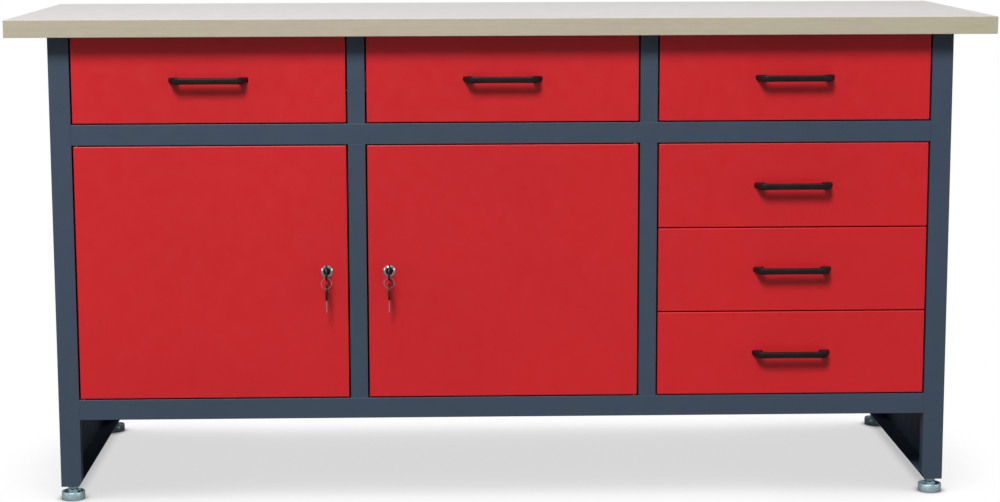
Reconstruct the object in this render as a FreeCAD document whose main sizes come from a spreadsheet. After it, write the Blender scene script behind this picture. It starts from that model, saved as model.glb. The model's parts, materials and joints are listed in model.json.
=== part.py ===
import FreeCAD, Part

import os
from types import SimpleNamespace

import Sketcher

# A steel workbench: a wooden top on a folded sheet frame, with three drawers in
# a row under the top, two lockable doors below them and a column of three more
# drawers at the right. +X runs along the bench, +Y goes from the front to the
# back, +Z is up, and the origin is on the floor under the middle of the top.

os.makedirs("parts", exist_ok=True)
doc = FreeCAD.newDocument("Workbench")

DRIVING_DIMENSIONS = {
    # worktop
    "top_length": 1700,
    "top_depth": 600,
    "top_thick": 30,
    "total_height": 850,
    "side_overhang": 67,
    "front_overhang": 40,
    "rear_overhang": 2,
    # frame
    "frame_sheet": 1.5,
    "panel_sheet": 1,
    "post_width": 36,
    "post_return": 25,
    "stile_width": 30,
    "rail_height": 36,
    "frame_lift": 25,
    "bottom_rail_lift": 145.5,
    "middle_rail_lift": 631,
    "cut_corner_wide": 4.5,
    "cut_corner_high": 10,
    # fronts, doors and trays
    "front_gap": 2,
    "side_gap": 3,
    "pan_depth": 18,
    "pan_lip": 12,
    "pan_bend": 1.5,
    "tray_length": 470,
    "tray_height": 100,
    "tray_lift": 20,
    # drawer slides
    "slide_room": 13,
    "guide_depth": 9,
    "guide_height": 35,
    "guide_sheet": 1.2,
    "guide_length": 450,
    "runner_gap": 4,
    "runner_height": 29,
    "bracket_height": 44,
    # shelves
    "shelf_top": 400,
    "shelf_edge": 20,
    "shelf_setback": 60,
    "shelf_side_gap": 1,
    "shelf_rear_gap": 7,
    "peg_radius": 3.5,
    "peg_length": 12,
    "peg_inset": 50,
    # handles
    "handle_length": 138,
    "handle_reach": 28,
    "handle_bar": 8,
    "handle_height": 11,
    "handle_foot": 20,
    "handle_taper": 6,
    "handle_corner": 7,
    "handle_lean": 2,
    "handle_hole_pitch": 120,
    "screw_radius": 2,
    "screw_play": 0.2,
    "screw_fit": 0.05,
    "screw_head_radius": 4,
    "screw_head_thick": 2.5,
    "screw_bite": 14,
    # door hinge pins
    "pin_radius": 2,
    "pin_play": 0.08,
    "pin_inset": 5,
    "pin_reach": 9,
    # locks and keys
    "lock_height": 408,
    "lock_inset": 36.5,
    "bezel_radius": 11,
    "bezel_thick": 3,
    "barrel_radius": 9,
    "barrel_play": 0.2,
    "barrel_reach": 20,
    "lock_nut_radius": 13,
    "lock_nut_thick": 4,
    "plug_radius": 6,
    "plug_play": 0.1,
    "plug_recess": 0.5,
    "collar_gap": 0.5,
    "collar_radius": 8,
    "cam_rear": 25,
    "cam_thick": 2,
    "cam_width": 12,
    "cam_length": 46,
    "cam_slot_room": 3,
    "key_head_radius": 14,
    "key_head_thick": 2.6,
    "key_neck_length": 2,
    "key_neck_width": 10,
    "key_blade_length": 23.5,
    "key_blade_width": 6.4,
    "key_blade_thick": 1.8,
    "key_slot_length": 20,
    "key_slot_width": 4.6,
    "key_slot_offset": 5.5,
    "ring_radius": 9,
    "ring_wire": 0.9,
    "ring_play": 0.9,
    "keyway_play": 0.15,
    "keyway_rest": 1,
    # feet
    "foot_inset": 18,
    "foot_base_radius": 20.5,
    "foot_base_height": 14,
    "foot_base_chamfer": 2,
    "foot_rim": 2.5,
    "foot_dish": 5,
    "foot_dish_slope": 1,
    "foot_hex_radius": 9.8,
    "foot_stud_radius": 5,
    "foot_stud_top": 75,
    "foot_stud_play": 0.4,
    "foot_nut_radius": 10,
    "foot_nut_height": 10,
    # worktop screws
    "top_screw_radius": 3,
    "top_screw_bite": 20,
    "top_screw_head_radius": 6,
    "top_screw_head_thick": 3.5,
}


class Size:
    """A length in mm with the spreadsheet expression that gives it."""

    def __init__(self, value, text):
        self.value = value
        self.text = text

    def __add__(self, other):
        other = as_size(other)
        return Size(self.value + other.value, f"({self.text} + {other.text})")

    def __sub__(self, other):
        other = as_size(other)
        return Size(self.value - other.value, f"({self.text} - {other.text})")

    def __mul__(self, number):
        return Size(self.value * number, f"({self.text} * {number})")

    def __truediv__(self, number):
        return Size(self.value / number, f"({self.text} / {number})")

    def __neg__(self):
        return Size(-self.value, f"(-1 * {self.text})")


def as_size(number):
    """Give a Size unchanged, and make one of a plain number."""
    if isinstance(number, Size):
        return number
    return Size(number, f"({number})")


def fill_sheet():
    """Put the driving dimensions in a spreadsheet and return them as Sizes."""
    sheet = doc.addObject("Spreadsheet::Sheet", "Dims")
    sizes = {}
    for row, (alias, value) in enumerate(DRIVING_DIMENSIONS.items(), 1):
        sheet.set(f"A{row}", alias.replace("_", " "))
        sheet.set(f"B{row}", str(value))
        sheet.setAlias(f"B{row}", alias)
        sizes[alias] = Size(value, f"Dims.{alias}")
    doc.recompute()
    return SimpleNamespace(**sizes)


D = fill_sheet()

# How far a cutting tool passes the faces it cuts, and how far pieces that are
# joined into one solid run into each other.
OVERSHOOT = 1
OVERLAP = 1

# Places worked out from the driving dimensions.

FRONT = -(D.top_depth / 2) + D.front_overhang
REAR = D.top_depth / 2 - D.rear_overhang
RETURN_END = FRONT + D.post_return
REAR_RETURN = REAR - D.post_return
BACK_FACE = REAR_RETURN - D.panel_sheet
OUTER = D.top_length / 2 - D.side_overhang
INNER = OUTER - D.post_width
WEB_FACE = OUTER - D.frame_sheet

TOP_UNDERSIDE = D.total_height - D.top_thick
MIDDLE_RAIL_TOP = D.middle_rail_lift + D.rail_height
BOTTOM_RAIL_TOP = D.bottom_rail_lift + D.rail_height
DECK_UNDERSIDE = MIDDLE_RAIL_TOP - D.frame_sheet

BAY_WIDTH = (INNER * 2 - D.stile_width * 2) / 3
STILE_X = (BAY_WIDTH + D.stile_width) / 2
BAYS = {
    "left": (-INNER, -STILE_X - D.stile_width / 2),
    "centre": (-STILE_X + D.stile_width / 2, STILE_X - D.stile_width / 2),
    "right": (STILE_X + D.stile_width / 2, INNER),
}

TOP_ROW_LOW = MIDDLE_RAIL_TOP + D.front_gap
TOP_ROW_HIGH = TOP_UNDERSIDE - D.front_gap
DOOR_LOW = BOTTOM_RAIL_TOP + D.front_gap
DOOR_HIGH = D.middle_rail_lift - D.front_gap
COLUMN_FRONT = (DOOR_HIGH - DOOR_LOW - D.front_gap * 2) / 3

PAN_REAR = FRONT + D.pan_depth
CAM_FRONT = FRONT + D.cam_rear - D.cam_thick
CAM_REAR = FRONT + D.cam_rear
FOOT_Y = (FRONT + D.foot_inset, REAR - D.foot_inset)
FOOT_X = OUTER - D.foot_inset

AXIS_TURN = {
    "x": FreeCAD.Rotation(FreeCAD.Vector(0, 0, 1), FreeCAD.Vector(1, 0, 0)),
    "y": FreeCAD.Rotation(FreeCAD.Vector(0, 0, 1), FreeCAD.Vector(0, 1, 0)),
    "z": FreeCAD.Rotation(),
}

subparts = {}


# Helpers that make one kind of solid each, with every size bound to the sheet.


def bind(thing, prop, size):
    """Bind a property of a document object to the expression of a Size."""
    thing.setExpression(prop, as_size(size).text)


def place(thing, x, y, z):
    """Bind the three coordinates of an object's placement."""
    for axis, size in zip("xyz", (x, y, z)):
        bind(thing, f"Placement.Base.{axis}", size)


def box(x, y, z):
    """Make a block between a low and a high size on each axis."""
    block = doc.addObject("Part::Box", "Block")
    place(block, x[0], y[0], z[0])
    bind(block, "Length", as_size(x[1]) - x[0])
    bind(block, "Width", as_size(y[1]) - y[0])
    bind(block, "Height", as_size(z[1]) - z[0])
    return block


def rod(axis, start, length, radius):
    """Make a cylinder along an axis from its start point."""
    cylinder = doc.addObject("Part::Cylinder", "Rod")
    cylinder.Placement.Rotation = AXIS_TURN[axis]
    place(cylinder, *start)
    bind(cylinder, "Radius", radius)
    bind(cylinder, "Height", length)
    return cylinder


def hexagon(start, height, corner_radius):
    """Make an upright hexagonal prism from its start point."""
    prism = doc.addObject("Part::Prism", "Hexagon")
    prism.Polygon = 6
    place(prism, *start)
    bind(prism, "Circumradius", corner_radius)
    bind(prism, "Height", height)
    return prism


def fuse(*pieces):
    """Join solids into one."""
    union = doc.addObject("Part::MultiFuse", "Union")
    union.Shapes = list(pieces)
    union.Refine = True
    return union


def cut(base, *tools):
    """Take solids away from a base solid."""
    difference = doc.addObject("Part::Cut", "Difference")
    difference.Base = base
    difference.Tool = tools[0] if len(tools) == 1 else fuse(*tools)
    difference.Refine = True
    return difference


def group(pieces):
    """Hold several separate solids in one object."""
    compound = doc.addObject("Part::Compound", "Group")
    compound.Links = list(pieces)
    return compound


def mirrored(source):
    """Make the right-hand copy of a left-hand piece."""
    mirror = doc.addObject("Part::Mirroring", "Mirror")
    mirror.Source = source
    mirror.Base = FreeCAD.Vector(0, 0, 0)
    mirror.Normal = FreeCAD.Vector(1, 0, 0)
    return mirror


def keep(name, piece):
    """Name a finished sub-part. Its label is also its file name."""
    piece.Label = name
    subparts[name] = piece
    return piece


def origin_plane(body, role):
    """Find one of a body's own origin planes."""
    return next(plane for plane in body.Origin.OriginFeatures if plane.Role == role)


def outline_sketch(body, role, offset, points):
    """Draw a closed outline on an origin plane, fixed point by point to the sheet."""
    sketch = body.newObject("Sketcher::SketchObject", "Outline")
    sketch.AttachmentSupport = (origin_plane(body, role), [""])
    sketch.MapMode = "FlatFace"
    side = -as_size(offset) if role == "XZ_Plane" else as_size(offset)
    bind(sketch, "AttachmentOffset.Base.z", side)
    corners = [(as_size(u), as_size(v)) for u, v in points]
    count = len(corners)
    vectors = [FreeCAD.Vector(u.value, v.value, 0) for u, v in corners]
    for index, start in enumerate(vectors):
        sketch.addGeometry(Part.LineSegment(start, vectors[(index + 1) % count]), False)
    for index in range(count):
        sketch.addConstraint(
            Sketcher.Constraint("Coincident", index, 2, (index + 1) % count, 1)
        )
    for index, (u, v) in enumerate(corners):
        for kind, size in (("DistanceX", u), ("DistanceY", v)):
            number = sketch.addConstraint(
                Sketcher.Constraint(kind, -1, 1, index, 1, size.value)
            )
            bind(sketch, f"Constraints[{number}]", size)
    return sketch


def extrude(role, offset, length, points):
    """Pad an outline from an origin plane's offset along the positive axis."""
    body = doc.addObject("PartDesign::Body", "Profile")
    pad = body.newObject("PartDesign::Pad", "Pad")
    pad.Profile = outline_sketch(body, role, offset, points)
    pad.Reversed = role == "XZ_Plane"
    bind(pad, "Length", length)
    body.Tip = pad
    return body


def revolve(start, points):
    """Turn an outline of (radius, height) points round an upright axis."""
    body = doc.addObject("PartDesign::Body", "Turned")
    turn = body.newObject("PartDesign::Revolution", "Revolution")
    sketch = outline_sketch(body, "XZ_Plane", 0, points)
    turn.Profile = sketch
    turn.ReferenceAxis = (sketch, ["V_Axis"])
    turn.Angle = 360
    body.Tip = turn
    place(body, *start)
    return body


def round_edges(body, radius, choose):
    """Fillet the edges of a body's tip that a test picks."""
    doc.recompute()
    base = body.Tip
    names = [f"Edge{i}" for i, edge in enumerate(base.Shape.Edges, 1) if choose(edge)]
    fillet = body.newObject("PartDesign::Fillet", "Bends")
    fillet.Base = (base, names)
    bind(fillet, "Radius", radius)
    body.Tip = fillet


def channel(front, rear, low, high, sheet):
    """Give the outline of a C channel: a web at front, flanges that reach to rear."""
    inward = sheet if as_size(rear).value > as_size(front).value else -sheet
    return [
        (front, low),
        (rear, low),
        (rear, low + sheet),
        (front + inward, low + sheet),
        (front + inward, high - sheet),
        (rear, high - sheet),
        (rear, high),
        (front, high),
    ]


# Worktop and welded frame.


def make_worktop():
    """The flat board on top."""
    half_length = D.top_length / 2
    half_depth = D.top_depth / 2
    board = extrude(
        "XY_Plane",
        TOP_UNDERSIDE,
        D.top_thick,
        [
            (-half_length, -half_depth),
            (half_length, -half_depth),
            (half_length, half_depth),
            (-half_length, half_depth),
        ],
    )
    keep("worktop", board)


def corner_cut():
    """A wedge that takes off the lower inner corner of a front post."""
    low = D.frame_lift
    high = low + D.cut_corner_high
    cut_side = -INNER - D.cut_corner_wide
    return extrude(
        "XZ_Plane",
        FRONT - OVERSHOOT,
        D.frame_sheet + OVERSHOOT,
        [
            (-INNER + OVERSHOOT, low - OVERSHOOT),
            (-INNER + OVERSHOOT, high),
            (-INNER, high),
            (cut_side, low),
            (cut_side, low - OVERSHOOT),
        ],
    )


def make_side_frames():
    """Each side of the bench: two posts, a web and two flanges in one welded piece."""
    sheet = D.frame_sheet
    low = D.frame_lift
    high = TOP_UNDERSIDE
    lip_low = low + D.cut_corner_high
    edge = (-INNER - sheet, -INNER)
    width = (-OUTER, -INNER)
    foot_width = (-OUTER, -INNER - D.cut_corner_wide)
    depth = (FRONT, REAR)
    folded = fuse(
        box((-OUTER, -WEB_FACE), depth, (low, high)),
        box(width, (FRONT, FRONT + sheet), (low, high)),
        box(edge, (FRONT, RETURN_END), (lip_low, high)),
        box(width, (REAR - sheet, REAR), (low, high)),
        box(edge, (REAR_RETURN, REAR), (low, high)),
        box(foot_width, depth, (low, low + sheet)),
        box(width, depth, (high - sheet, high)),
    )
    holes = [corner_cut()]
    hole_radius = D.foot_stud_radius + D.foot_stud_play
    for foot_y in FOOT_Y:
        start = (-FOOT_X, foot_y, low - OVERSHOOT)
        holes.append(rod("z", start, sheet + OVERSHOOT * 2, hole_radius))
    hole_radius = D.top_screw_radius + D.screw_play
    for screw_y in top_screw_places():
        start = (-FOOT_X, screw_y, high - sheet - OVERSHOOT)
        holes.append(rod("z", start, sheet + OVERSHOOT * 2, hole_radius))
    left = keep("side_frame_left", cut(folded, *holes))
    keep("side_frame_right", mirrored(left))


def top_screw_places():
    """The three screws in each top flange, spread evenly from front to back."""
    quarter = (REAR - FRONT) / 4
    return [FRONT + quarter * step for step in (1, 2, 3)]


def make_rails():
    """The two rails across the front and the two across the back."""
    span = INNER * 2
    sheet = D.frame_sheet
    for name, low in (("middle", D.middle_rail_lift), ("bottom", D.bottom_rail_lift)):
        outline = channel(FRONT, RETURN_END, low, low + D.rail_height, sheet)
        keep(f"{name}_rail", extrude("YZ_Plane", -INNER, span, outline))
    rear_rails = []
    for low in (D.bottom_rail_lift, TOP_UNDERSIDE - D.rail_height):
        outline = channel(REAR, REAR_RETURN, low, low + D.rail_height, sheet)
        rear_rails.append(extrude("YZ_Plane", -INNER, span, outline))
    keep("rear_rails", group(rear_rails))


def upright(centre, low, high):
    """A folded upright: a face at the front and two walls back to the back panel."""
    half = D.stile_width / 2
    inside = half - D.frame_sheet
    face_rear = FRONT + D.frame_sheet
    outline = [
        (centre - half, FRONT),
        (centre + half, FRONT),
        (centre + half, BACK_FACE),
        (centre + inside, BACK_FACE),
        (centre + inside, face_rear),
        (centre - inside, face_rear),
        (centre - inside, BACK_FACE),
        (centre - half, BACK_FACE),
    ]
    return extrude("XY_Plane", low, high - low, outline)


def make_uprights():
    """The two dividers of the top row and the two partitions below them.

    The left partition lies between the doors, so it has the slots for both cams.
    """
    cut_half = D.stile_width / 2 + OVERSHOOT
    room = D.cam_slot_room
    rail_depth = (FRONT - OVERSHOOT, RETURN_END)
    rail_rise = (D.middle_rail_lift, DECK_UNDERSIDE + OVERSHOOT)
    slot_depth = (CAM_FRONT - room, CAM_REAR + room)
    slot_rise = (
        D.lock_height - D.cam_length / 2 - room,
        D.lock_height + D.cam_width / 2 + room,
    )
    for side, centre in (("left", -STILE_X), ("right", STILE_X)):
        keep(f"upper_divider_{side}", upright(centre, MIDDLE_RAIL_TOP, TOP_UNDERSIDE))
        width = (centre - cut_half, centre + cut_half)
        cuts = [box(width, rail_depth, rail_rise)]
        if side == "left":
            cuts.append(box(width, slot_depth, slot_rise))
        lower = upright(centre, BOTTOM_RAIL_TOP, DECK_UNDERSIDE)
        keep(f"lower_partition_{side}", cut(lower, *cuts))


def make_panels():
    """The deck under the top drawers, the bottom and the back."""
    width = (-WEB_FACE, WEB_FACE)
    depth = (RETURN_END, BACK_FACE)
    keep("middle_deck", box(width, depth, (DECK_UNDERSIDE, MIDDLE_RAIL_TOP)))
    floor_low = BOTTOM_RAIL_TOP - D.frame_sheet
    keep("bottom_panel", box(width, depth, (floor_low, BOTTOM_RAIL_TOP)))
    back_high = TOP_UNDERSIDE - D.frame_sheet
    back = box(width, (BACK_FACE, REAR_RETURN), (D.bottom_rail_lift, back_high))
    keep("back_panel", back)


def make_shelves():
    """One shelf with folded front and rear edges in each cupboard, on four pegs."""
    front = FRONT + D.shelf_setback
    rear = BACK_FACE - D.shelf_rear_gap
    low = D.shelf_top - D.shelf_edge
    sheet = D.panel_sheet
    outline = [
        (front, low),
        (front + sheet, low),
        (front + sheet, D.shelf_top - sheet),
        (rear - sheet, D.shelf_top - sheet),
        (rear - sheet, low),
        (rear, low),
        (rear, D.shelf_top),
        (front, D.shelf_top),
    ]
    walls = {
        "left": (-WEB_FACE, BAYS["left"][1]),
        "centre": BAYS["centre"],
    }
    peg_height = D.shelf_top - sheet - D.peg_radius
    pegs = []
    for side, (low_x, high_x) in walls.items():
        start = low_x + D.shelf_side_gap
        length = high_x - low_x - D.shelf_side_gap * 2
        keep(f"shelf_{side}", extrude("YZ_Plane", start, length, outline))
        for peg_y in (front + D.peg_inset, rear - D.peg_inset):
            for peg_x in (low_x, high_x - D.peg_length):
                peg_start = (peg_x, peg_y, peg_height)
                pegs.append(rod("x", peg_start, D.peg_length, D.peg_radius))
    keep("shelf_pegs", group(pegs))


def make_frame_fasteners():
    """Screws up into the worktop, and the weld nuts that the feet screw into."""
    pieces = []
    head_top = TOP_UNDERSIDE - D.frame_sheet
    head_low = head_top - D.top_screw_head_thick
    shank_low = head_top - OVERLAP
    shank_high = TOP_UNDERSIDE + D.top_screw_bite
    seat = D.frame_lift + D.frame_sheet
    bore = D.foot_stud_radius + D.foot_stud_play
    bore_length = D.foot_nut_height + OVERSHOOT * 2
    for x in (-FOOT_X, FOOT_X):
        for y in top_screw_places():
            head_size = (D.top_screw_head_thick, D.top_screw_head_radius)
            head = rod("z", (x, y, head_low), *head_size)
            shank_size = (shank_high - shank_low, D.top_screw_radius)
            shank = rod("z", (x, y, shank_low), *shank_size)
            pieces.append(fuse(head, shank))
        for y in FOOT_Y:
            nut = hexagon((x, y, seat), D.foot_nut_height, D.foot_nut_radius)
            hole = rod("z", (x, y, seat - OVERSHOOT), bore_length, bore)
            pieces.append(cut(nut, hole))
    keep("frame_fasteners", group(pieces))


# Drawer slides.


def slide_height(front_low):
    """The centre line of a drawer's two slides."""
    return front_low + D.tray_lift + D.tray_height / 2


def side_channel(wall, reach, centre, height, sheet):
    """A channel along Y: its web lies on a wall and its flanges reach to one side."""
    outline = channel(wall, reach, centre - height / 2, centre + height / 2, sheet)
    return extrude("XZ_Plane", RETURN_END, D.guide_length, outline)


def make_slides(drawers):
    """Two guide channels for each drawer, on brackets where the wall is a post."""
    guides = []
    brackets = []
    for bay, front_low, _ in drawers.values():
        centre = slide_height(front_low)
        low_x, high_x = BAYS[bay]
        for wall, sign in ((low_x, 1), (high_x, -1)):
            reach = wall + D.guide_depth * sign
            guides.append(
                side_channel(wall, reach, centre, D.guide_height, D.guide_sheet)
            )
            outer_wall = WEB_FACE * -sign
            if abs(wall.value) == INNER.value:
                outline = channel(
                    wall,
                    outer_wall,
                    centre - D.bracket_height / 2,
                    centre + D.bracket_height / 2,
                    D.frame_sheet,
                )
                depth = BACK_FACE - RETURN_END
                brackets.append(extrude("XZ_Plane", RETURN_END, depth, outline))
    keep("slide_rails", group(guides))
    keep("slide_brackets", group(brackets))


def make_runners(name, bay, front_low):
    """The two runners on a tray's sides, which slide inside the guide channels."""
    centre = slide_height(front_low)
    low_x, high_x = BAYS[bay]
    pair = []
    for wall, sign in ((low_x, 1), (high_x, -1)):
        tray_side = wall + D.slide_room * sign
        reach = wall + D.runner_gap * sign
        pair.append(
            side_channel(tray_side, reach, centre, D.runner_height, D.guide_sheet)
        )
    keep(f"{name}_runners", group(pair))


# Drawers.


def pan(x, z, holes=()):
    """A folded front: a sheet with bent edges, and lips turned in behind them."""
    body = extrude(
        "XZ_Plane",
        FRONT,
        D.pan_depth,
        [(x[0], z[0]), (x[1], z[0]), (x[1], z[1]), (x[0], z[1])],
    )
    rear = PAN_REAR.value
    tolerance = 1e-6

    def bent(edge):
        return any(abs(v.Y - rear) > tolerance for v in edge.Vertexes)

    round_edges(body, D.pan_bend, bent)
    sheet = D.panel_sheet
    inside = box(
        (x[0] + sheet, x[1] - sheet),
        (FRONT + sheet, PAN_REAR - sheet),
        (z[0] + sheet, z[1] - sheet),
    )
    window = box(
        (x[0] + D.pan_lip, x[1] - D.pan_lip),
        (PAN_REAR - sheet - OVERLAP, PAN_REAR + OVERSHOOT),
        (z[0] + D.pan_lip, z[1] - D.pan_lip),
    )
    return cut(body, inside, window, *holes)


def front_hole(x, z, radius):
    """A round hole through the sheet of a front."""
    return rod("y", (x, FRONT - OVERSHOOT, z), D.panel_sheet + OVERSHOOT * 2, radius)


def make_handle(name, centre_x, centre_z):
    """A bow handle with a tapered foot at each end, and the two screws that hold it."""
    half = D.handle_length / 2
    bar_front = FRONT - D.handle_reach
    bar_rear = bar_front + D.handle_bar
    corner = D.handle_corner
    foot_in = half - D.handle_foot
    waist = half - D.handle_foot + D.handle_taper
    shoulder = half - D.handle_lean
    right_half = [
        (half, FRONT),
        (shoulder, bar_front + corner),
        (shoulder - corner, bar_front),
    ]
    inner_half = [
        (waist - corner, bar_rear),
        (waist, bar_rear + corner),
        (foot_in, FRONT),
    ]
    points = [(centre_x - u, v) for u, v in right_half]
    points += [(centre_x + u, v) for u, v in reversed(right_half)]
    points += [(centre_x + u, v) for u, v in reversed(inner_half)]
    points += [(centre_x - u, v) for u, v in inner_half]
    low = centre_z - D.handle_height / 2
    bow = extrude("XY_Plane", low, D.handle_height, points)
    sheet_rear = FRONT + D.panel_sheet
    tip = FRONT - D.screw_bite
    hole_size = (D.screw_bite + OVERSHOOT * 2, D.screw_radius + D.screw_fit)
    head_size = (D.screw_head_thick, D.screw_head_radius)
    shank_size = (D.screw_bite + D.panel_sheet + OVERLAP, D.screw_radius)
    holes = []
    screws = []
    for side in (-1, 1):
        x = centre_x + D.handle_hole_pitch * (side / 2)
        holes.append(rod("y", (x, tip - OVERSHOOT, centre_z), *hole_size))
        head = rod("y", (x, sheet_rear, centre_z), *head_size)
        shank = rod("y", (x, tip, centre_z), *shank_size)
        screws.append(fuse(head, shank))
    keep(f"{name}_handle", group([cut(bow, *holes), *screws]))


def make_tray(name, bay, front_low):
    """A tray of five flat sheets, spot-welded along their edges."""
    low_x, high_x = BAYS[bay]
    sheet = D.panel_sheet
    x = (low_x + D.slide_room, high_x - D.slide_room)
    y = (PAN_REAR, PAN_REAR + D.tray_length)
    low = front_low + D.tray_lift
    rise = (low + sheet, low + D.tray_height)
    between = (x[0] + sheet, x[1] - sheet)
    sheets = [
        box(x, y, (low, low + sheet)),
        box((x[0], x[0] + sheet), y, rise),
        box((x[1] - sheet, x[1]), y, rise),
        box(between, (y[0], y[0] + sheet), rise),
        box(between, (y[1] - sheet, y[1]), rise),
    ]
    keep(f"{name}_tray", group(sheets))


def make_drawer(name, bay, front_low, front_high):
    """A whole drawer: its front, tray, handle and runners."""
    x = (BAYS[bay][0] + D.side_gap, BAYS[bay][1] - D.side_gap)
    centre_x = (x[0] + x[1]) / 2
    centre_z = (front_low + front_high) / 2
    holes = []
    for side in (-1, 1):
        hole_x = centre_x + D.handle_hole_pitch * (side / 2)
        holes.append(front_hole(hole_x, centre_z, D.screw_radius + D.screw_play))
    keep(f"{name}_front", pan(x, (front_low, front_high), holes))
    make_tray(name, bay, front_low)
    make_handle(name, centre_x, centre_z)
    make_runners(name, bay, front_low)


def drawer_table():
    """Name, bay and height of each drawer front: the top row, then the column."""
    table = {}
    for bay in BAYS:
        table[f"drawer_top_{bay}"] = (bay, TOP_ROW_LOW, TOP_ROW_HIGH)
    step = COLUMN_FRONT + D.front_gap
    for level, name in enumerate(("lower", "middle", "upper")):
        low = DOOR_LOW + step * level
        table[f"drawer_side_{name}"] = ("right", low, low + COLUMN_FRONT)
    return table


# Doors, with their locks and keys.


def make_door(name, bay, hinge_side):
    """A door pan with holes for its two hinge pins and its lock."""
    x = (BAYS[bay][0] + D.side_gap, BAYS[bay][1] - D.side_gap)
    hinge_edge = x[0] if hinge_side < 0 else x[1]
    free_edge = x[1] if hinge_side < 0 else x[0]
    pin_x = hinge_edge - D.pin_inset * hinge_side
    pin_y = FRONT + D.pin_inset
    lock_x = free_edge + D.lock_inset * hinge_side
    pin_hole = D.pin_radius + D.pin_play
    holes = [front_hole(lock_x, D.lock_height, D.barrel_radius + D.barrel_play)]
    for flange in (DOOR_LOW, DOOR_HIGH - D.panel_sheet):
        start = (pin_x, pin_y, flange - OVERSHOOT)
        holes.append(rod("z", start, D.panel_sheet + OVERSHOOT * 2, pin_hole))
    keep(f"{name}_panel", pan(x, (DOOR_LOW, DOOR_HIGH), holes))
    pin_lows = (BOTTOM_RAIL_TOP, D.middle_rail_lift - D.pin_reach)
    pins = [
        rod("z", (pin_x, pin_y, pin_low), D.pin_reach, D.pin_radius)
        for pin_low in pin_lows
    ]
    return lock_x, pins


def make_lock(name, lock_x):
    """The housing, held by its bezel and a nut, and the plug with its cam."""
    z = D.lock_height
    bezel_front = FRONT - D.bezel_thick
    nut_front = FRONT + D.panel_sheet
    barrel_length = D.bezel_thick + D.barrel_reach
    bore_length = barrel_length + OVERSHOOT * 2
    bezel = rod("y", (lock_x, bezel_front, z), D.bezel_thick, D.bezel_radius)
    barrel = rod("y", (lock_x, bezel_front, z), barrel_length, D.barrel_radius)
    nut = rod("y", (lock_x, nut_front, z), D.lock_nut_thick, D.lock_nut_radius)
    bore_start = (lock_x, bezel_front - OVERSHOOT, z)
    bore = rod("y", bore_start, bore_length, D.plug_radius + D.plug_play)
    keep(f"{name}_lock_housing", cut(fuse(bezel, barrel, nut), bore))

    plug_front = bezel_front + D.plug_recess
    plug = rod("y", (lock_x, plug_front, z), CAM_REAR - plug_front, D.plug_radius)
    half_width = D.cam_width / 2
    cam = box(
        (lock_x - half_width, lock_x + half_width),
        (CAM_FRONT, CAM_REAR),
        (z - D.cam_length, z),
    )
    collar_front = FRONT + D.barrel_reach + D.collar_gap
    collar_start = (lock_x, collar_front, z)
    collar = rod("y", collar_start, CAM_REAR - collar_front, D.collar_radius)
    half_thick = D.key_blade_thick / 2 + D.keyway_play
    half_tall = D.key_blade_width / 2 + D.keyway_play
    keyway_rear = plug_front + D.key_blade_length + D.keyway_rest
    keyway = box(
        (lock_x - half_thick, lock_x + half_thick),
        (plug_front - OVERSHOOT, keyway_rear),
        (z - half_tall, z + half_tall),
    )
    keep(f"{name}_lock_cam", cut(fuse(plug, cam, collar), keyway))
    return plug_front


def head_centre():
    """How far the middle of a key's head lies in front of its neck's foot."""
    return D.key_neck_length + D.key_head_radius - OVERLAP


def slot_line():
    """How far a key's slot lies in front of its neck's foot."""
    return head_centre() + D.key_slot_offset


def key_shape():
    """A key with its blade along +Y, its neck's foot at the origin, thin along X."""
    half_head = D.key_head_thick / 2
    head_start = (-half_head, -head_centre(), 0)
    head = rod("x", head_start, D.key_head_thick, D.key_head_radius)
    neck = box(
        (-half_head, half_head),
        (-D.key_neck_length - OVERLAP, 0),
        (-D.key_neck_width / 2, D.key_neck_width / 2),
    )
    blade = box(
        (-D.key_blade_thick / 2, D.key_blade_thick / 2),
        (-OVERLAP, D.key_blade_length),
        (-D.key_blade_width / 2, D.key_blade_width / 2),
    )
    half_slot = D.key_slot_width / 2
    straight = D.key_slot_length / 2 - half_slot
    slot_size = (D.key_head_thick + OVERSHOOT * 2, half_slot)
    slot = [
        box(
            (-half_head - OVERSHOOT, half_head + OVERSHOOT),
            (-slot_line() - half_slot, -slot_line() + half_slot),
            (-straight, straight),
        )
    ]
    for end in (-straight, straight):
        slot_start = (-half_head - OVERSHOOT, -slot_line(), end)
        slot.append(rod("x", slot_start, *slot_size))
    return cut(fuse(head, neck, blade), *slot)


def make_keys(name, lock_x, plug_front):
    """The key in the lock, the ring that hangs from it and the spare key."""
    key = key_shape()
    place(key, lock_x, plug_front, D.lock_height)
    keep(f"{name}_key", key)

    ring_y = plug_front - slot_line()
    hang = D.ring_wire + D.ring_play
    ring_top = D.lock_height - D.key_slot_length / 2 + hang
    ring_z = ring_top - D.ring_radius
    ring = doc.addObject("Part::Torus", "Ring")
    ring.Placement.Rotation = AXIS_TURN["y"]
    place(ring, lock_x, ring_y, ring_z)
    bind(ring, "Radius1", D.ring_radius)
    bind(ring, "Radius2", D.ring_wire)
    keep(f"{name}_key_ring", ring)

    spare = key_shape()
    spare.Placement.Rotation = FreeCAD.Rotation(
        FreeCAD.Vector(0, 1, 0), FreeCAD.Vector(0, 0, -1)
    )
    slot_top = ring_z - D.ring_radius + hang
    foot_z = slot_top - D.key_slot_width / 2 - slot_line()
    place(spare, lock_x, ring_y, foot_z)
    keep(f"{name}_spare_key", spare)


# Adjustable feet.


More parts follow.
